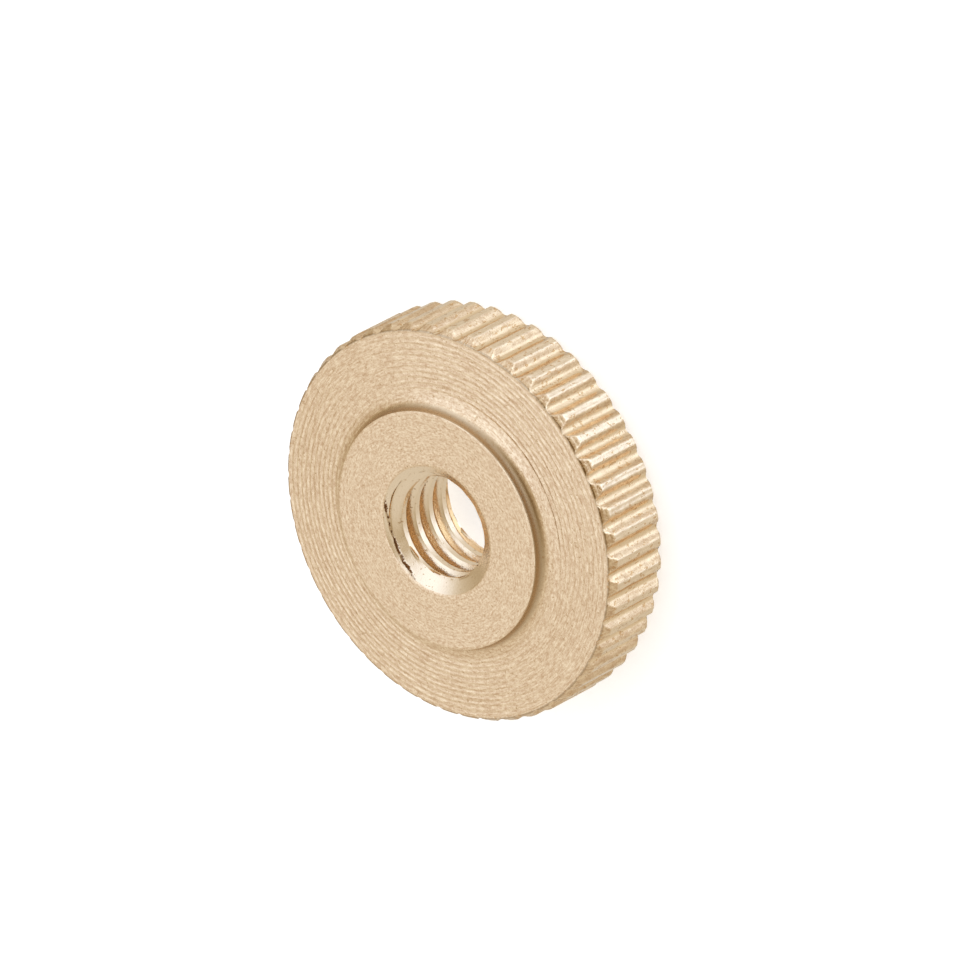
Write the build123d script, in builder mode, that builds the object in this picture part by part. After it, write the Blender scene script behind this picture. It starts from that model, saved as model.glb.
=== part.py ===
"""Knurled thumb nut: one solid turned from round bar, tapped right through.

A flat disc with a straight knurl round its rim, a low plain boss on its upper
face and a bore on its axis.  The nut lies on its plain face, boss up.
Millimetres, +Z up, origin on the axis in the plain (lower) face.
"""
import os
from math import cos, pi, radians, sin

from build123d import *

# ---------------------------------------------------------------- dimensions
# disc
crest_d = 20.0          # over the crests of the knurl
rim_t = 3.85            # thickness of the disc, lower face to upper face
edge_d = 19.62          # upper face, where the crest chamfer starts
top_chamfer_z = 0.45    # the crest chamfer runs this far down the teeth
back_edge_d = 19.64     # lower face, inside its edge break
back_chamfer_z = 0.15   # height of the lower edge break

# straight knurl
teeth = 50
root_d = 19.38          # over the bottoms of the grooves
crest_half = 0.90       # half width of a crest, degrees
root_half = 0.45        # half width of a groove bottom, degrees
first_crest = -90.0 - 2.8   # bearing of one crest, degrees

# boss
boss_d = 12.0
boss_h = 0.80
boss_root_r = 0.40      # fillet between boss and disc
boss_edge_c = 0.07      # edge break on top of the boss

# bore for an M6 x 1 thread, modelled at the minor diameter
bore_d = 5.0
mouth_d = 6.55          # countersink at each face
mouth_angle = 120.0

total_h = rim_t + boss_h
pitch_angle = 360.0 / teeth


def polar(radius, degrees):
    """Point at a radius and bearing in the XY plane."""
    return (radius * cos(radians(degrees)), radius * sin(radians(degrees)))


# one closed outline through every crest and groove
knurl_outline = []
for i in range(teeth):
    crest = first_crest + i * pitch_angle
    knurl_outline += [
        polar(crest_d / 2, crest - crest_half),
        polar(crest_d / 2, crest + crest_half),
        polar(root_d / 2, crest + pitch_angle / 2 - root_half),
        polar(root_d / 2, crest + pitch_angle / 2 + root_half),
    ]

with BuildPart() as thumb_nut:
    # knurled disc
    with BuildSketch(Plane.XY) as knurl_section:
        with BuildLine():
            Polyline(*knurl_outline, close=True)
        make_face()
    extrude(amount=rim_t)

    # the turned envelope trims the ends of the teeth
    with BuildSketch(Plane.XZ) as envelope:
        with BuildLine():
            Polyline(
                (0, 0),
                (back_edge_d / 2, 0),
                (crest_d / 2 + 0.001, back_chamfer_z),
                (crest_d / 2 + 0.001, rim_t - top_chamfer_z),
                (edge_d / 2, rim_t),
                (0, rim_t),
                close=True,
            )
        make_face()
    revolve(axis=Axis.Z, mode=Mode.INTERSECT)

    # boss, its root fillet and its edge break
    with BuildSketch(Plane.XY.offset(rim_t)) as boss_section:
        Circle(boss_d / 2)
    extrude(amount=boss_h)
    boss_rings = (
        edges().filter_by(GeomType.CIRCLE)
        .filter_by(lambda e: abs(e.radius - boss_d / 2) < 1e-4)
        .sort_by(Axis.Z)
    )
    fillet(boss_rings[0], radius=boss_root_r)
    boss_top = faces().sort_by(Axis.Z)[-1]
    chamfer(boss_top.outer_wire().edges(), length=boss_edge_c)

    # bore with a countersunk mouth at each end
    with Locations(Plane.XY.offset(total_h)):
        CounterSinkHole(
            radius=bore_d / 2,
            counter_sink_radius=mouth_d / 2,
            counter_sink_angle=mouth_angle,
        )
    with Locations(Plane(origin=(0, 0, 0), x_dir=(1, 0, 0), z_dir=(0, 0, -1))):
        CounterSinkHole(
            radius=bore_d / 2,
            counter_sink_radius=mouth_d / 2,
            counter_sink_angle=mouth_angle,
        )

thumb_nut.part.label = "thumb_nut"

os.makedirs("parts", exist_ok=True)
export_step(thumb_nut.part, "parts/thumb_nut.step")
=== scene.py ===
import math

import bpy
import numpy as np
from mathutils import Matrix, Vector


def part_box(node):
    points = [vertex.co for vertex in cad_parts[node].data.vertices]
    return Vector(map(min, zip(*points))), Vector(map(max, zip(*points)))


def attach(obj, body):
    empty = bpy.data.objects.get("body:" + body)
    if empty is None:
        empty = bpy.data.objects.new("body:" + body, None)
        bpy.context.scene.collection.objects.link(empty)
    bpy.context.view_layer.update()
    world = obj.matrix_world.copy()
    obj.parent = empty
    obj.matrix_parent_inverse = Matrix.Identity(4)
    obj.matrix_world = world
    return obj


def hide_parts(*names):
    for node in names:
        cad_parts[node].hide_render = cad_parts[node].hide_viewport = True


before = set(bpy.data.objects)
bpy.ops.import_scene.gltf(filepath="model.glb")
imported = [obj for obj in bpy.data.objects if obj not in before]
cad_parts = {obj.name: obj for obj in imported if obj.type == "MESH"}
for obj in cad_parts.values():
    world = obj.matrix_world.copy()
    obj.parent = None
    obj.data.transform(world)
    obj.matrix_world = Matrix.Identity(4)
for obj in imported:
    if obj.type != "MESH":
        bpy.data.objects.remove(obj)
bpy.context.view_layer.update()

nut_low, nut_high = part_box("thumb_nut")
TOTAL = (nut_high.z - nut_low.z) * 1000.0

# ---------------------------------------------------------------- dimensions, millimetres
RIM_T = 3.85
CREST_R = 10.0
EDGE_R = 9.80
EDGE_Z = 3.76
TOP_CHAMFER = 0.47
BACK_EDGE_R = 9.82
BACK_CHAMFER = 0.15
TEETH = 50
FIRST_CREST = 2.99
BOSS_R = 6.0
FILLET_R = 0.45
BOSS_EDGE = 0.07
MINOR_R = 2.5
MAJOR_R = 3.0
MOUTH_R = 3.275
PITCH = 1.0
FEED = 0.275

TAU = 2.0 * math.pi


# ---------------------------------------------------------------- seeded noise, periodic round the axis
class Lattice:
    def __init__(self, seed, turns, cells):
        rng = np.random.default_rng(seed)
        self.n, self.m = turns, cells
        self.v = rng.uniform(-1.0, 1.0, (turns, cells + 3))

    def __call__(self, u, w):
        """u is in turns and wraps, w runs from 0 to the number of cells."""
        u = (np.asarray(u, float) % 1.0) * self.n
        w = np.clip(np.asarray(w, float), 0.0, self.m)
        u, w = np.broadcast_arrays(u, w)
        i, j = np.floor(u).astype(int), np.floor(w).astype(int)
        fu, fw = u - i, w - j
        fu, fw = fu * fu * (3 - 2 * fu), fw * fw * (3 - 2 * fw)
        a, b = i % self.n, (i + 1) % self.n
        return (
            self.v[a, j] * (1 - fu) * (1 - fw)
            + self.v[b, j] * fu * (1 - fw)
            + self.v[a, j + 1] * (1 - fu) * fw
            + self.v[b, j + 1] * fu * fw
        )


def smooth(x, a, b):
    t = np.clip((x - a) / (b - a), 0.0, 1.0)
    return t * t * (3 - 2 * t)


# ---------------------------------------------------------------- the nut's mesh, ring by ring
class Rings:
    def __init__(self):
        self.pts, self.count, self.faces = [], 0, []

    def add(self, a, r, z):
        """A closed ring of points at bearings a (degrees, clockwise seen from above, 0 at -Y)."""
        a, r, z = np.broadcast_arrays(np.asarray(a, float), r, z)
        t = np.radians(a)
        self.pts.append(np.stack([-r * np.sin(t), -r * np.cos(t), z], 1))
        ids = np.arange(self.count, self.count + len(a))
        self.count += len(a)
        return ids

    def quads(self, lower, upper):
        """Joins two rings with as many points. Points they share make triangles."""
        n = len(lower)
        for j in range(n):
            k = (j + 1) % n
            f = []
            for i in (int(lower[j]), int(lower[k]), int(upper[k]), int(upper[j])):
                if i not in f:
                    f.append(i)
            if len(f) > 2:
                self.faces.append(tuple(f))

    def zip(self, lower, la, upper, ua):
        """Joins two rings with different numbers of points, by bearing."""
        n, m = len(lower), len(upper)
        la = np.append(la, la[0] + 360.0)
        ua = np.append(ua, ua[0] + 360.0)
        i = j = 0
        while i < n or j < m:
            if j >= m:
                low = True
            elif i >= n:
                low = False
            else:
                low = la[i] + la[i + 1] <= ua[j] + ua[j + 1]
            if low:
                self.faces.append((int(lower[i]), int(lower[(i + 1) % n]), int(upper[j % m])))
                i += 1
            else:
                self.faces.append((int(lower[i % n]), int(upper[(j + 1) % m]), int(upper[j])))
                j += 1

    def spiral(self, a, lo, hi, feed, parts, turn, place, first, last):
        """Fills from ring first (running distance lo) to ring last (hi) with rows that follow
        a spiral. place(a, s) gives (r, z) at bearing a and running distance s. A row that runs
        out at either end shares that ring's points there."""
        n, k_turn = len(a), len(parts)
        lap0 = int(math.floor(lo / feed)) - 3
        laps = int(math.ceil((hi - lo) / feed)) + 6
        grid = []
        for lap in range(laps):
            for part in parts:
                s = (lap0 + lap + part + turn * a / 360.0) * feed
                gap = 0.3 * feed / k_turn
                low, high = s <= lo + gap, s >= hi - gap
                ids = np.where(low, first, np.where(high, last, -1))
                free = ~(low | high)
                if free.any():
                    r, z = place(a[free], s[free])
                    ids[free] = self.add(a[free], r, z)
                grid.append(ids)
        for k in range(len(grid) - 1):
            for j in range(n):
                if j + 1 < n:
                    p, q = grid[k][j + 1], grid[k + 1][j + 1]
                else:
                    w = k + turn * k_turn
                    if not 0 <= w < len(grid) - 1:
                        p = q = first[0] if w < 0 else last[0]
                    else:
                        p, q = grid[w][0], grid[w + 1][0]
                f = []
                for i in (int(grid[k][j]), int(p), int(q), int(grid[k + 1][j])):
                    if i not in f:
                        f.append(i)
                if len(f) > 2:
                    self.faces.append(tuple(f))


rings = Rings()

# Bearings: the rim has twenty points a tooth, the faces fewer.
T = np.array([-.5, -.44, -.39, -.34, -.28, -.22, -.17, -.13, -.095, -.05, 0.0,
              .05, .095, .13, .17, .22, .28, .34, .39, .44])
A_RIM = (FIRST_CREST + 360.0 / TEETH * (np.arange(TEETH)[:, None] + T[None, :])).ravel()
TOOTH = np.repeat(np.arange(TEETH), len(T))
T_RIM = np.tile(T, TEETH)
N_FACE = 225
A_FACE = A_RIM[0] + 360.0 / N_FACE * np.arange(N_FACE)
N_BORE = 132
A_BORE = A_RIM[0] + 360.0 / N_BORE * np.arange(N_BORE)
N_BACK = 150
A_BACK = A_RIM[0] + 360.0 / N_BACK * np.arange(N_BACK)

tooth_rng = np.random.default_rng(41)
tooth_high = tooth_rng.normal(0.0, 0.005, TEETH)
tooth_lip = tooth_rng.normal(0.0, 0.004, (TEETH, 2))
tooth_seam = tooth_rng.uniform(0.004, 0.018, TEETH)
tooth_root = tooth_rng.normal(0.0, 0.008, TEETH)
tooth_lean = tooth_rng.normal(0.0, 0.012, (TEETH, 2))
n_side = Lattice(5, 100, 12)
n_lip = Lattice(6, 150, 14)
n_seam = Lattice(7, 50, 16)
n_flank = Lattice(8, 300, 22)
n_pit = Lattice(12, 100, 34)
n_root = Lattice(9, 50, 10)
n_edge = Lattice(10, 100, 12)


def knurl(a, z):
    """Radius of the rolled rim at each rim bearing and height."""
    t, i = T_RIM, TOOTH
    u = a / 360.0
    w = z / RIM_T
    side = np.where(t < 0, 0.0, 1.0)
    lane = (i + 0.25 + 0.5 * side) / TEETH
    # each side of a tooth wanders a little along its length
    mid = np.clip(1.0 - np.abs(np.abs(t) - 0.25) / 0.25, 0, 1) ** 0.5
    x = np.abs(t) + mid * (tooth_lean[i, side.astype(int)] + 0.014 * n_edge(lane, w * 12) + 0.009 * n_side(lane + 0.37, w * 12))
    x = np.clip(x, 0.0, 0.5)
    d = np.interp(
        x,
        [0.0, .05, .075, .10, .125, .15, .20, .25, .30, .35, .40, .45, .50],
        [0.0, .0011, .003, .0069, .0139, .0253, .0616, .1162, .1852, .248, .2857, .302, .3058],
    )
    d = d + np.clip(1 - x / .08, 0, 1) * tooth_seam[i] * (1.0 + 0.9 * n_seam((i + .5) / TEETH, w * 16))
    lip = 0.009 + tooth_lip[i, side.astype(int)] + 0.009 * n_lip(lane, w * 14)
    d = d - np.clip(1 - np.abs(x - .12) / .07, 0, 1) * lip
    # torn metal low on the sides
    low = np.clip(1 - np.abs(x - .33) / .12, 0, 1)
    d = d + low * (0.006 * n_flank(u, w * 22) + 0.022 * np.clip(n_pit(lane, w * 34) - 0.45, 0, 1))
    d = d + np.clip((x - .40) / .1, 0, 1) * (tooth_root[i] + 0.008 * n_root((i + (t > 0) * 1.0) / TEETH, w * 10))
    return CREST_R - np.clip(d - tooth_high[i], -0.012, 0.34)


def back_cone(z):
    return BACK_EDGE_R + (CREST_R - BACK_EDGE_R) * z / BACK_CHAMFER


def top_cone(z):
    return EDGE_R + (CREST_R - EDGE_R) * (EDGE_Z - z) / (TOP_CHAMFER + EDGE_Z - RIM_T)


def top_edge(r):
    """Height of the rounded edge between the chamfer and the worked face."""
    return np.interp(r, [9.66, 9.72, 9.765, EDGE_R], [RIM_T, 3.838, 3.81, EDGE_Z])


n_band = Lattice(11, 60, 10)
BAND_R = 9.66


def rim_ring(z):
    r = knurl(A_RIM, z)
    if z < BACK_CHAMFER + 0.02:
        r = np.minimum(r, back_cone(z))
    if z > RIM_T - TOP_CHAMFER - 0.03:
        wave = 0.0036 * math.cos(TAU * (z - 3.495) / 0.178) + 0.002 * n_band(A_RIM / 360.0, (z - 3.35) / 0.05)
        r = np.minimum(r, top_cone(z) + wave)
    return r


# --- back face: mouth edge out to the rim
n_back = Lattice(21, 90, 40)
n_backw = Lattice(22, 24, 8)


def back_place(a, s):
    ph = TAU * (s / FEED + a / 360.0)
    wob = 0.25 * n_backw(a / 360.0, (s - 3.2) / 0.85)
    g = 0.5 - 0.5 * np.cos(ph + wob)
    depth = 0.0055 * (1.0 + 0.4 * n_back(a / 360.0, (s - 3.2) / 0.17))
    return s, depth * g


back_mouth = rings.add(A_BACK, MOUTH_R, 0.0)
back_out = rings.add(A_BACK, 9.66, 0.0)
rings.spiral(A_BACK, MOUTH_R, 9.66, FEED, [0.0, 0.25, 0.5, 0.75], -1, back_place, back_mouth, back_out)
ring = rings.add(A_RIM, rim_ring(0.0), 0.0)
rings.zip(back_out, A_BACK, ring, A_RIM)

# --- rim
rows = [0.05, 0.10, 0.15]
rows += list(np.linspace(0.15, 3.40, 33)[1:])
rows += [3.43, 3.46, 3.495, 3.535, 3.575, 3.62, 3.665, 3.71, EDGE_Z]
for z in rows:
    nxt = rings.add(A_RIM, rim_ring(z), z)
    rings.quads(ring, nxt)
    ring = nxt
for k, lip in enumerate((9.765, 9.72)):
    lip_r = np.minimum(knurl(A_RIM, EDGE_Z) - 0.003 * (k + 1), lip + 0.003 * n_band(A_RIM / 360.0, 9.0 + k))
    nxt = rings.add(A_RIM, lip_r, top_edge(lip_r))
    rings.quads(ring, nxt)
    ring = nxt

# --- worked face, a spiral of shallow grooves
FALL = 0.031  # the worked face falls outwards a little
FOOT_R = 6.85
FOOT = math.radians(22.0)
FACE_IN = BOSS_R + FILLET_R * (1.0 - math.sin(FOOT))
n_face = Lattice(31, 150, 30)
n_facew = Lattice(32, 40, 10)
n_facec = Lattice(33, 10, 4)
GROOVE = 0.023
RING_PHASE = 3.4


def face_height(r):
    """The worked face without its grooves: a shallow cone that turns up at the boss."""
    up = np.clip(FOOT_R - r, 0.0, None)
    return RIM_T + FALL * np.clip(BAND_R - r, 0.0, None) + 0.5 * (math.tan(FOOT) - FALL) * up ** 2 / (FOOT_R - FACE_IN)


def face_place(a, s):
    """s runs inwards from 0 at the outer edge of the face."""
    r = (BAND_R - 0.02) - s
    ph = TAU * (r / FEED - a / 360.0) + RING_PHASE
    u = a / 360.0
    wob = 0.24 * n_facew(u, (r - 6.3) / 0.34) + 0.15 * n_face(u + .31, (r - 6.3) / 0.115)
    g = 4.0 * (((ph + wob) / TAU) % 1.0 - 0.5) ** 2  # round-nosed grooves that meet in a sharp crest
    depth = GROOVE * (1.0 + 0.25 * n_face(u, (r - 6.3) / 0.115) + 0.18 * n_facec(u, (r - 6.3) / 0.85))
    depth = depth * (0.35 + 0.65 * smooth(r, 6.45, 6.95))
    return r, face_height(r) - depth * (1 - g) + 0.0012 * n_face(u + .57, (r - 6.3) / 0.115)


S_IN = (BAND_R - 0.02) - FACE_IN
face_out = rings.add(A_FACE, *face_place(A_FACE, np.zeros(N_FACE)))
rings.zip(ring, A_RIM, face_out, A_FACE)
face_in = rings.add(A_FACE, *face_place(A_FACE, np.full(N_FACE, S_IN)))
rings.spiral(A_FACE, 0.0, S_IN, FEED, [k / 6.0 for k in range(6)], -1, face_place, face_out, face_in)
ring = face_in

# --- fillet, wall and edge of the boss
n_wall = Lattice(51, 120, 12)
k = 0
WALL_Z = float(face_height(FACE_IN)) + FILLET_R * math.cos(FOOT)
for deg in (31, 40, 50, 60, 70, 80, 90):
    b = math.radians(deg)
    nxt = rings.add(
        A_FACE,
        BOSS_R + FILLET_R * (1 - math.sin(b)) + 0.003 * n_wall(A_FACE / 360.0, k),
        WALL_Z - FILLET_R * math.cos(b),
    )
    rings.quads(ring, nxt)
    ring = nxt
    k += 1
for z in (WALL_Z + 0.05, TOTAL - BOSS_EDGE):
    nxt = rings.add(A_FACE, BOSS_R + 0.003 * n_wall(A_FACE / 360.0, k), z)
    rings.quads(ring, nxt)
    ring = nxt
    k += 1
nxt = rings.add(A_FACE, BOSS_R - BOSS_EDGE * 0.35, TOTAL - BOSS_EDGE * 0.28)
rings.quads(ring, nxt)
boss_out = rings.add(A_FACE, BOSS_R - BOSS_EDGE - 0.01, TOTAL)
rings.quads(nxt, boss_out)

# --- boss face, down to the bore's columns
n_boss = Lattice(61, 80, 26)
n_bossc = Lattice(62, 12, 6)


def boss_ring(a, r):
    u = a / 360.0
    w = (r - 3.2) / 0.11
    return TOTAL - 0.0022 * (1 + n_boss(u, w)) - 0.002 * (1 + n_bossc(u, (r - 3.2) / 0.5))


ring = boss_out
for r in np.linspace(BOSS_R - BOSS_EDGE - 0.01, MOUTH_R, 25)[1:-1]:
    nxt = rings.add(A_FACE, r, boss_ring(A_FACE, r))
    rings.quads(ring, nxt)
    ring = nxt
n_mouth = Lattice(71, 66, 4)
mouth_top = rings.add(A_BORE, MOUTH_R + 0.012 * n_mouth(A_BORE / 360.0, 1.0), TOTAL - 0.004)
rings.zip(ring, A_FACE, mouth_top, A_BORE)

# --- bore: countersinks and thread as one surface
n_thread = Lattice(81, 66, 90)
n_burr = Lattice(82, 66, 12)
TAN = math.tan(math.radians(60.0))


def torn_start(a):
    """Height and strength of the torn line where the thread starts in the mouth."""
    u = a / 360.0
    start = np.interp(a % 360.0, [140, 150, 160, 180, 200, 215, 228, 240], [4.64, 4.60, 4.544, 4.484, 4.468, 4.51, 4.595, 4.64])
    near = np.interp(a % 360.0, [135, 155, 170, 215, 228, 236], [0.0, 0.5, 0.9, 1.0, 0.8, 0.0])
    return start + 0.022 * n_burr(u, 6.0), near * (0.7 + 0.3 * n_burr(u + 0.4, 9.0))


def thread_radius(a, z):
    u = a / 360.0
    # crest centre at this bearing; it climbs with the bearing seen from +X towards +Y
    zc = 4.085 - (a - 170.0) / 360.0 * PITCH
    q = (z - zc) / PITCH
    q = np.abs(q - np.round(q))
    r = np.interp(
        q,
        [0.0, .149, .165, .4375 - .02, .4375 + .02, .5],
        [MINOR_R, MINOR_R, MINOR_R + .02, MAJOR_R - .03, MAJOR_R - .006, MAJOR_R],
    )
    r = r + 0.006 * n_thread(u, z * 18)
    top_mouth = MOUTH_R - (TOTAL - z) * TAN
    low_mouth = MOUTH_R - z * TAN
    mouth = np.maximum(top_mouth, low_mouth)
    burr = np.exp(-((mouth - r) / 0.03) ** 2)
    out = np.maximum(r, mouth) - 0.012 * burr * (0.5 + n_burr(u, 3.0 + 2.0 * np.sign(z - 2)))
    if np.ndim(z) or z > 4.0:
        start, near = torn_start(a)
        out = out + near * (0.085 * np.exp(-((z - start) / 0.026) ** 2) - 0.035 * np.exp(-((z - start - 0.05) / 0.022) ** 2))
    return out


def bore_place(a, s):
    z = TOTAL - s
    return thread_radius(a, z), z


mouth_low = rings.add(A_BORE, MOUTH_R, 0.0)
LEAD = (TOTAL - 4.085) / PITCH - 170.0 / 360.0
parts = sorted((LEAD + q) % 1.0 for q in (-.5, -.4575, -.4175, -.36, -.30, -.23, -.165, -.149, -.05, .05, .149, .165, .23, .30, .36, .4175, .4575))
MOUTH_Z = 4.30
mouth_mid = rings.add(A_BORE, thread_radius(A_BORE, np.full(N_BORE, MOUTH_Z)), MOUTH_Z)
ring = mouth_top
for z in (4.62, 4.59, 4.565, 4.545, 4.525, 4.505, 4.485, 4.465, 4.445, 4.425, 4.405, 4.385, 4.36, 4.33):
    nxt = rings.add(A_BORE, thread_radius(A_BORE, np.full(N_BORE, z)), z)
    rings.quads(ring, nxt)
    ring = nxt
rings.quads(ring, mouth_mid)
rings.spiral(A_BORE, TOTAL - MOUTH_Z, TOTAL, PITCH, parts, 1, bore_place, mouth_mid, mouth_low)
rings.zip(mouth_low, A_BORE, back_mouth, A_BACK)

# ---------------------------------------------------------------- the mesh as one piece
co = np.concatenate(rings.pts) * 0.001
mesh = bpy.data.meshes.new("nut_body")
mesh.from_pydata(co.tolist(), [], rings.faces)
mesh.validate(verbose=False)

import bmesh

bm = bmesh.new()
bm.from_mesh(mesh)
loose = [v for v in bm.verts if not v.link_faces]
bmesh.ops.delete(bm, geom=loose, context="VERTS")
bmesh.ops.recalc_face_normals(bm, faces=bm.faces)
open_edges = sum(1 for e in bm.edges if len(e.link_faces) != 2)
tris = sum(len(f.verts) - 2 for f in bm.faces)
volume = bm.calc_volume(signed=True) * 1e9
if volume < 0:
    bmesh.ops.reverse_faces(bm, faces=bm.faces)
bm.to_mesh(mesh)
bm.free()
print("nut_body", "triangles", tris, "edges not shared by two faces", open_edges, "volume mm3", round(volume, 1))
for p in mesh.polygons:
    p.use_smooth = True
mesh.set_sharp_from_angle(angle=math.radians(38.0))

# how dark the torn line is at each vertex
v = np.empty(len(mesh.vertices) * 3)
mesh.vertices.foreach_get("co", v)
v = v.reshape(-1, 3) * 1000.0
v_a = np.degrees(np.arctan2(-v[:, 0], -v[:, 1])) % 360.0
v_r = np.hypot(v[:, 0], v[:, 1])
v_start, v_near = torn_start(v_a)
dark = np.where((v_r > 2.7) & (v_r < 3.27) & (v[:, 2] > 4.38), v_near * np.exp(-((v[:, 2] - v_start) / 0.05) ** 2), 0.0)
torn_line_weight = mesh.attributes.new("torn_line", "FLOAT", "POINT")
torn_line_weight.data.foreach_set("value", dark.astype(np.float32))

nut = bpy.data.objects.new("nut_body", mesh)
bpy.context.scene.collection.objects.link(nut)
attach(nut, "root")
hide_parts("thumb_nut")


# ---------------------------------------------------------------- node helpers
def link(nt, a, b):
    nt.links.new(a, b)


def math_node(nt, op, *vals, clamp=False):
    n = nt.nodes.new("ShaderNodeMath")
    n.operation = op
    n.use_clamp = clamp
    for i, v in enumerate(vals):
        if isinstance(v, (int, float)):
            n.inputs[i].default_value = v
        else:
            link(nt, v, n.inputs[i])
    return n.outputs[0]


def ramp(nt, x, a, b, c=0.0, d=1.0, kind="SMOOTHSTEP"):
    n = nt.nodes.new("ShaderNodeMapRange")
    n.interpolation_type = kind
    link(nt, x, n.inputs[0])
    for i, v in zip((1, 2, 3, 4), (a, b, c, d)):
        if isinstance(v, (int, float)):
            n.inputs[i].default_value = v
        else:
            link(nt, v, n.inputs[i])
    return n.outputs[0]


def mix_col(nt, fac, a, b, kind="MIX"):
    n = nt.nodes.new("ShaderNodeMix")
    n.data_type = "RGBA"
    n.blend_type = kind
    n.clamp_factor = True
    for sock, v in ((n.inputs[0], fac), (n.inputs[6], a), (n.inputs[7], b)):
        if isinstance(v, (int, float)):
            sock.default_value = v
        elif isinstance(v, tuple):
            sock.default_value = (*v, 1.0)
        else:
            link(nt, v, sock)
    return n.outputs[2]


def noise(nt, vec, scale, detail=2.0, rough=0.5, dims="3D"):
    n = nt.nodes.new("ShaderNodeTexNoise")
    n.noise_dimensions = dims
    link(nt, vec, n.inputs["Vector"])
    n.inputs["Scale"].default_value = scale
    n.inputs["Detail"].default_value = detail
    n.inputs["Roughness"].default_value = rough
    return n.outputs[0]


# ---------------------------------------------------------------- turned brass
brass = bpy.data.materials.new("turned_brass")
brass.use_nodes = True
nt = brass.node_tree
nt.nodes.clear()
out = nt.nodes.new("ShaderNodeOutputMaterial")
bsdf = nt.nodes.new("ShaderNodeBsdfPrincipled")
link(nt, bsdf.outputs[0], out.inputs[0])

geo = nt.nodes.new("ShaderNodeTexCoord")
scale = nt.nodes.new("ShaderNodeVectorMath")
scale.operation = "SCALE"
link(nt, geo.outputs["Object"], scale.inputs[0])
scale.inputs["Scale"].default_value = 1000.0
mm = scale.outputs[0]
sep = nt.nodes.new("ShaderNodeSeparateXYZ")
link(nt, mm, sep.inputs[0])
X, Y, Z = sep.outputs
flat = nt.nodes.new("ShaderNodeCombineXYZ")
link(nt, X, flat.inputs[0])
link(nt, Y, flat.inputs[1])
ln = nt.nodes.new("ShaderNodeVectorMath")
ln.operation = "LENGTH"
link(nt, flat.outputs[0], ln.inputs[0])
R = ln.outputs["Value"]
unit = nt.nodes.new("ShaderNodeVectorMath")
unit.operation = "NORMALIZE"
link(nt, flat.outputs[0], unit.inputs[0])
su = nt.nodes.new("ShaderNodeSeparateXYZ")
link(nt, unit.outputs[0], su.inputs[0])


def polar_noise(k_round, k_r, k_z, detail=2.0, rough=0.5):
    """Noise with about k_round cells a millimetre round the axis at R 8, k_r along the radius and k_z along the axis."""
    c = nt.nodes.new("ShaderNodeCombineXYZ")
    link(nt, math_node(nt, "MULTIPLY", su.outputs[0], 8.0 * k_round), c.inputs[0])
    link(nt, math_node(nt, "MULTIPLY", su.outputs[1], 8.0 * k_round), c.inputs[1])
    link(nt, math_node(nt, "MULTIPLY", Z, k_z), c.inputs[2])
    n = nt.nodes.new("ShaderNodeTexNoise")
    n.noise_dimensions = "4D"
    link(nt, c.outputs[0], n.inputs["Vector"])
    link(nt, math_node(nt, "MULTIPLY", R, k_r), n.inputs["W"])
    n.inputs["Scale"].default_value = 1.0
    n.inputs["Detail"].default_value = detail
    n.inputs["Roughness"].default_value = rough
    return n.outputs[0]


ring_grain = polar_noise(1.0, 11.0, 0.0, 2.0, 0.5)
dash = polar_noise(3.4, 12.0, 6.0, 2.0, 0.65)
speck = noise(nt, mm, 9.0, 3.0, 0.65)
rim_grain = polar_noise(9.0, 6.0, 1.6, 2.0, 0.6)
pit_field = noise(nt, mm, 5.6, 2.0, 0.55)
torn_field = polar_noise(6.5, 5.0, 3.0, 2.0, 0.6)

is_rim = ramp(nt, R, 9.60, 9.72)
is_bore = ramp(nt, R, 3.30, 3.20)
pits = math_node(nt, "MULTIPLY", ramp(nt, pit_field, 0.65, 0.70), 0.75)
torn = math_node(nt, "MULTIPLY", ramp(nt, torn_field, 0.59, 0.64), is_rim)
tone = math_node(nt, "ADD", math_node(nt, "MULTIPLY", speck, 0.30), math_node(nt, "MULTIPLY", ring_grain, 0.16))
tone = math_node(nt, "ADD", tone, math_node(nt, "MULTIPLY", dash, 0.54))
streak = math_node(nt, "ADD", math_node(nt, "MULTIPLY", speck, 0.45), math_node(nt, "MULTIPLY", rim_grain, 0.55))
tm = nt.nodes.new("ShaderNodeMix")
tm.data_type = "FLOAT"
link(nt, is_rim, tm.inputs[0])
link(nt, tone, tm.inputs[2])
link(nt, streak, tm.inputs[3])
tone = ramp(nt, tm.outputs[0], 0.39, 0.615, kind="LINEAR")
base = mix_col(nt, tone, (0.67, 0.450, 0.264), (1.0, 0.800, 0.545))
# paler brass down the bore: partly fresh-cut metal, partly a painted reflection
fresh_and_sheen = math_node(nt, "MULTIPLY", is_bore, ramp(nt, Z, 4.64, 4.60))
# painted highlight: paler brass in the groove roots of the teeth, below the chamfer
root = math_node(nt, "MULTIPLY", is_rim, math_node(nt, "MULTIPLY", ramp(nt, R, 9.80, 9.74), ramp(nt, Z, 3.70, 3.55)))
foot_shade = math_node(nt, "MULTIPLY", ramp(nt, R, 6.45, 6.25), math_node(nt, "MULTIPLY", ramp(nt, Z, 3.98, 4.05), ramp(nt, R, 5.96, 5.99)))
base = mix_col(nt, math_node(nt, "MULTIPLY", root, 0.8), base, (0.955, 0.745, 0.485))
base = mix_col(nt, math_node(nt, "MULTIPLY", fresh_and_sheen, 0.92), base, (0.955, 0.795, 0.590))
# the tops of the teeth are painted lighter, partly burnish and partly a painted highlight; their sides are painted
# darker, a painted shade
crest_burnish_and_highlight = ramp(nt, R, 9.960, 9.990)
base = mix_col(nt, math_node(nt, "MULTIPLY", crest_burnish_and_highlight, 0.6), base, (1.0, 0.850, 0.640))
# painted shade: darker brass on the sides of the teeth
side = math_node(nt, "MULTIPLY", ramp(nt, R, 9.955, 9.925), math_node(nt, "MULTIPLY", ramp(nt, R, 9.80, 9.84), ramp(nt, Z, 3.45, 3.35)))
base = mix_col(nt, math_node(nt, "MULTIPLY", side, 0.35), base, (0.66, 0.455, 0.260))
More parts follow.
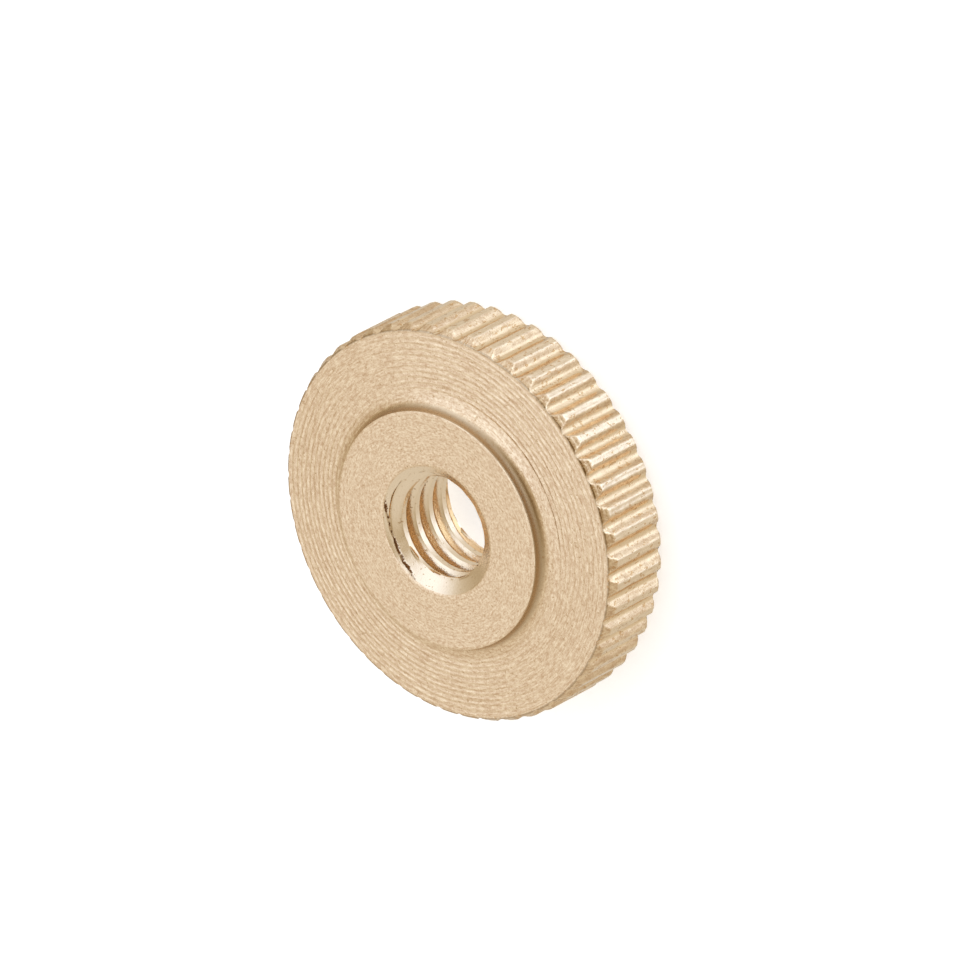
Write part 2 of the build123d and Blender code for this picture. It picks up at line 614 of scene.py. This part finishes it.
# painted shade in the corner under the boss and on its wall, and a painted dark line along the arris of the rim
base = mix_col(nt, math_node(nt, "MULTIPLY", foot_shade, ramp(nt, R, 6.26, 6.12, 0.0, 0.75)), base, (0.66, 0.500, 0.320))
wall_shade = math_node(nt, "MULTIPLY", foot_shade, ramp(nt, R, 6.14, 6.04))
base = mix_col(nt, math_node(nt, "MULTIPLY", wall_shade, 0.75), base, (0.58, 0.440, 0.280))
# painted shade: a dark line along the rounded edge between the chamfer and the face
arris_shade = math_node(nt, "MULTIPLY", ramp(nt, R, 9.67, 9.70), ramp(nt, Z, 3.775, 3.80))
base = mix_col(nt, math_node(nt, "MULTIPLY", arris_shade, 0.6), base, (0.42, 0.300, 0.180))
torn_line = nt.nodes.new("ShaderNodeAttribute")
torn_line.attribute_name = "torn_line"
fac = torn_line.outputs["Fac"]
# darker brown, less shiny and less metallic along the torn line where the thread starts
torn_dark = math_node(nt, "ADD", math_node(nt, "MULTIPLY", fac, 1.2), math_node(nt, "MULTIPLY", math_node(nt, "SUBTRACT", speck, 0.5), 1.7))
torn_dark = math_node(nt, "MULTIPLY", ramp(nt, torn_dark, 0.35, 0.60), ramp(nt, fac, 0.05, 0.30))
base = mix_col(nt, pits, base, (0.58, 0.38, 0.20))
base = mix_col(nt, torn_dark, base, (0.210, 0.088, 0.026))
link(nt, math_node(nt, "SUBTRACT", 0.5, math_node(nt, "MULTIPLY", torn_dark, 0.45)), bsdf.inputs["Specular IOR Level"])
link(nt, math_node(nt, "SUBTRACT", 1.0, math_node(nt, "MULTIPLY", torn_dark, 0.9)), bsdf.inputs["Metallic"])
base = mix_col(nt, math_node(nt, "MULTIPLY", torn, 0.75), base, (0.66, 0.40, 0.18))
link(nt, base, bsdf.inputs["Base Color"])
rough = math_node(nt, "ADD", 0.12, math_node(nt, "MULTIPLY", speck, 0.10))
rough = math_node(nt, "ADD", rough, math_node(nt, "MULTIPLY", math_node(nt, "MAXIMUM", pits, torn), 0.15))
rough = math_node(nt, "ADD", rough, math_node(nt, "ADD", math_node(nt, "MULTIPLY", foot_shade, ramp(nt, R, 6.28, 6.16, 0.0, 0.10)), math_node(nt, "MULTIPLY", wall_shade, 0.15)))
rough = math_node(nt, "SUBTRACT", rough, math_node(nt, "MULTIPLY", is_rim, 0.04))
rough = math_node(nt, "ADD", rough, math_node(nt, "MULTIPLY", torn_dark, 0.35))
link(nt, rough, bsdf.inputs["Roughness"])

h_face = math_node(nt, "ADD", math_node(nt, "MULTIPLY", ring_grain, 0.0018), math_node(nt, "MULTIPLY", speck, 0.0036))
h_face = math_node(nt, "ADD", h_face, math_node(nt, "MULTIPLY", dash, 0.0035))
h_rim = math_node(nt, "ADD", math_node(nt, "MULTIPLY", rim_grain, 0.008), math_node(nt, "MULTIPLY", speck, 0.009))
h_rim = math_node(nt, "SUBTRACT", h_rim, math_node(nt, "MULTIPLY", torn, 0.006))
hm = nt.nodes.new("ShaderNodeMix")
hm.data_type = "FLOAT"
link(nt, is_rim, hm.inputs[0])
link(nt, h_face, hm.inputs[2])
link(nt, h_rim, hm.inputs[3])
height = math_node(nt, "SUBTRACT", hm.outputs[0], math_node(nt, "MULTIPLY", pits, 0.0025))
bump = nt.nodes.new("ShaderNodeBump")
bump.inputs["Strength"].default_value = 1.0
bump.inputs["Distance"].default_value = 0.001
link(nt, height, bump.inputs["Height"])
link(nt, bump.outputs[0], bsdf.inputs["Normal"])
mesh.materials.append(brass)

# ---------------------------------------------------------------- floor
fm = bpy.data.materials.new("pale_floor")
fm.use_nodes = True
fb = fm.node_tree.nodes["Principled BSDF"]
fb.inputs["Base Color"].default_value = (0.8, 0.8, 0.8, 1.0)
fb.inputs["Roughness"].default_value = 0.9
fb.inputs["Specular IOR Level"].default_value = 0.0
fb.inputs["Emission Color"].default_value = (1.0, 1.0, 1.0, 1.0)
fb.inputs["Emission Strength"].default_value = 0.6
floor_mesh = bpy.data.meshes.new("floor")
s = 1.2
floor_mesh.from_pydata([(-s, -s, 0), (s, -s, 0), (s, s, 0), (-s, s, 0)], [], [(0, 1, 2, 3)])
floor = bpy.data.objects.new("floor", floor_mesh)
floor.location.z = nut_low.z - 0.00002
bpy.context.scene.collection.objects.link(floor)
floor_mesh.materials.append(fm)
floor.visible_glossy = False
floor.visible_shadow = False

# ---------------------------------------------------------------- camera at the photograph's angle
TH, PS = math.radians(44.868), math.radians(62.622)
D = 0.5932
FOCAL = 470.04
e2 = np.array([math.cos(PS), -math.sin(PS), 0.0])
m = np.array([math.sin(PS), math.cos(PS), 0.0])
zc = np.array([0.0, 0.0, 1.0])
e1 = m * math.cos(TH) + zc * math.sin(TH)
nn = -m * math.sin(TH) + zc * math.cos(TH)
M = np.stack([-e2, -e1, nn], 1)
f_px = FOCAL / 36.0 * 960.0
t = np.array([(446.55 - 480.0) / f_px * D, -(525.41 - 480.0) / f_px * D, -D])
loc = np.array([0.0, 0.0, RIM_T * 0.001]) - M.T @ t
cam_data = bpy.data.cameras.new("camera")
cam_data.lens = FOCAL
cam_data.sensor_width = 36.0
cam_data.clip_start, cam_data.clip_end = 0.01, 10.0
cam = bpy.data.objects.new("camera", cam_data)
mat = Matrix.Identity(4)
for i in range(3):
    for j in range(3):
        mat[i][j] = M.T[i, j]
    mat[i][3] = loc[i]
cam.matrix_world = mat
bpy.context.scene.collection.objects.link(cam)
bpy.context.scene.camera = cam

# ---------------------------------------------------------------- studio light
# An even room with two broad soft lamps and two broad dark cards. Each is its bearing
# from the camera's side and its elevation, how wide it is, in degrees, and its strength.
ROOM = 0.63
LAMPS = ((-100, 45, 55, 1.0), (-5, -20, 30, 1.4), (-5, 40, 40, -0.9), (-130, 15, 35, -0.9))
LIGHT_AT = (-180, -155, -130, -105, -80, -55, -30, -10, 10, 25, 40, 55, 75, 95, 115, 135, 160)


def toward(bearing_deg, elevation_deg):
    az, el = math.radians(bearing_deg), math.radians(elevation_deg)
    return Vector((math.cos(el) * math.cos(az), math.cos(el) * math.sin(az), math.sin(el)))


def room_level(bearing_deg, elevation_deg):
    here, total = toward(bearing_deg, elevation_deg), ROOM
    for lamp_bearing, lamp_elevation, width, strength in LAMPS:
        off = math.degrees(here.angle(toward(lamp_bearing, lamp_elevation)))
        total += strength * math.exp(-((off / width) ** 2))
    return max(0.15, total)


LIGHT = [(e, [room_level(a, e) for a in LIGHT_AT]) for e in (-60, -40, -15, 8, 30, 48, 68)]

world = bpy.data.worlds.new("studio")
bpy.context.scene.world = world
world.use_nodes = True
wt = world.node_tree
wt.nodes.clear()
w_out = wt.nodes.new("ShaderNodeOutputWorld")
w_bg = wt.nodes.new("ShaderNodeBackground")
link(wt, w_bg.outputs[0], w_out.inputs[0])
w_dir = wt.nodes.new("ShaderNodeTexCoord")
w_sep = wt.nodes.new("ShaderNodeSeparateXYZ")
link(wt, w_dir.outputs["Generated"], w_sep.inputs[0])
wx, wy, wz = w_sep.outputs
bearing = math_node(wt, "ARCTAN2", math_node(wt, "MULTIPLY", wx, -1.0), math_node(wt, "MULTIPLY", wy, -1.0))
turn = math_node(wt, "ADD", math_node(wt, "DIVIDE", bearing, TAU), 0.5)
up = math_node(wt, "MULTIPLY", math_node(wt, "ARCSINE", wz), 180.0 / math.pi)
LAMP = 4.0

light_rings = []
lit = None
for k, (elevation, levels) in enumerate(LIGHT):
    n = wt.nodes.new("ShaderNodeValToRGB")
    stops = n.color_ramp.elements
    while len(stops) > 1:
        stops.remove(stops[-1])
    for j, deg in enumerate(LIGHT_AT + (180,)):
        e = stops[0] if j == 0 else stops.new(deg / 360.0 + 0.5)
        e.position = deg / 360.0 + 0.5
        e.color = (*([levels[j % len(levels)] / LAMP] * 3), 1.0)
    link(wt, turn, n.inputs[0])
    light_rings.append(n)
    if lit is None:
        lit = n.outputs[0]
    else:
        lit = mix_col(wt, ramp(wt, up, LIGHT[k - 1][0], elevation, kind="LINEAR"), lit, n.outputs[0])
# dim parts of the room are a little warmer than the lamps
level = math_node(wt, "MULTIPLY", lit, LAMP)
warm = math_node(wt, "POWER", math_node(wt, "DIVIDE", level, 1.05), 1 / 1.3)
cool = math_node(wt, "MINIMUM", math_node(wt, "MULTIPLY", math_node(wt, "POWER", warm, 1.9), 1.17), math_node(wt, "MULTIPLY", level, 1.15))
tint = wt.nodes.new("ShaderNodeCombineColor")
for i, v in enumerate((warm, level, cool)):
    link(wt, math_node(wt, "DIVIDE", v, LAMP), tint.inputs[i])
path = wt.nodes.new("ShaderNodeLightPath")
light_mix = lit
lit = mix_col(wt, path.outputs["Is Camera Ray"], tint.outputs[0], (0.98 / LAMP, 0.98 / LAMP, 0.98 / LAMP))
link(wt, lit, w_bg.inputs[0])
w_bg.inputs[1].default_value = LAMP

bpy.context.scene.view_settings.view_transform = "Standard"
